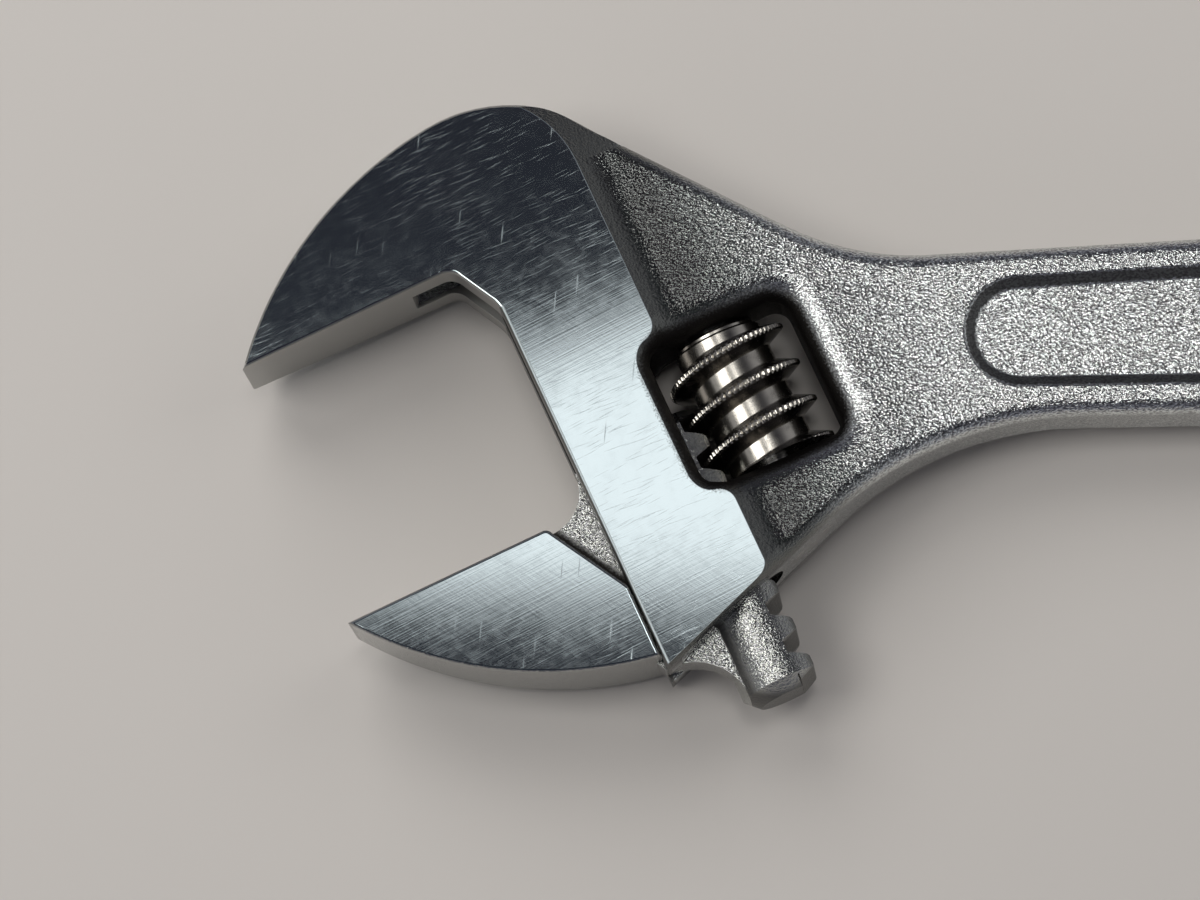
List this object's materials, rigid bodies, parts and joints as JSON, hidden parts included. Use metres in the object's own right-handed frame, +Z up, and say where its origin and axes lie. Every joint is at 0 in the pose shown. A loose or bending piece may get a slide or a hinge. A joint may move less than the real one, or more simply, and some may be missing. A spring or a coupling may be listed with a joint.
{
  "type": "adjustable wrench",
  "caption": "Chrome adjustable wrench: a fixed jaw forged in one with its handle, and a sliding jaw whose toothed bar is moved by a knurled worm.",
  "frame": {"origin": "under the middle of the whole tool, at the level of its lowest face", "axes": "+X along the handle from the jaws to the hang hole, +Y towards the fixed jaw's crown, +Z up out of the broad face"},
  "size_m": [0.203, 0.0542, 0.0136],
  "materials": {
    "body_chrome": "satin chrome plate over a forged grain, polished bright on the head's broad faces",
    "jaw_chrome": "polished bright on the broad faces, satin on the web and the toothed bar",
    "worm_steel": "oiled dark steel with a knurled thread crest",
    "pin_steel": "plain turned steel",
    "spring_steel": "drawn spring wire"
  },
  "bodies": {
    "body": {"forged_body": "body_chrome", "worm_pin": "pin_steel"},
    "jaw": {"sliding_jaw": "jaw_chrome"},
    "worm": {"knurled_worm": "worm_steel", "worm_spring": "spring_steel"}
  },
  "joints": [
    {"name": "jaw_slide", "type": "slide", "parent": "body", "child": "jaw", "axis": [0.3907, -0.9205, 0], "range_m": [-0.0247, 0.0005]},
    {"name": "worm_spin", "type": "hinge", "parent": "body", "child": "worm", "pos_m": [-0.05712, 0.00066, 0.00682], "axis": [0.3907, -0.9205, 0], "range_deg": [-60, 2480]}
  ],
  "couplings": [
    {"joint": "worm_spin", "follows": "jaw_slide", "rad_per_m": -1745.3}
  ]
}
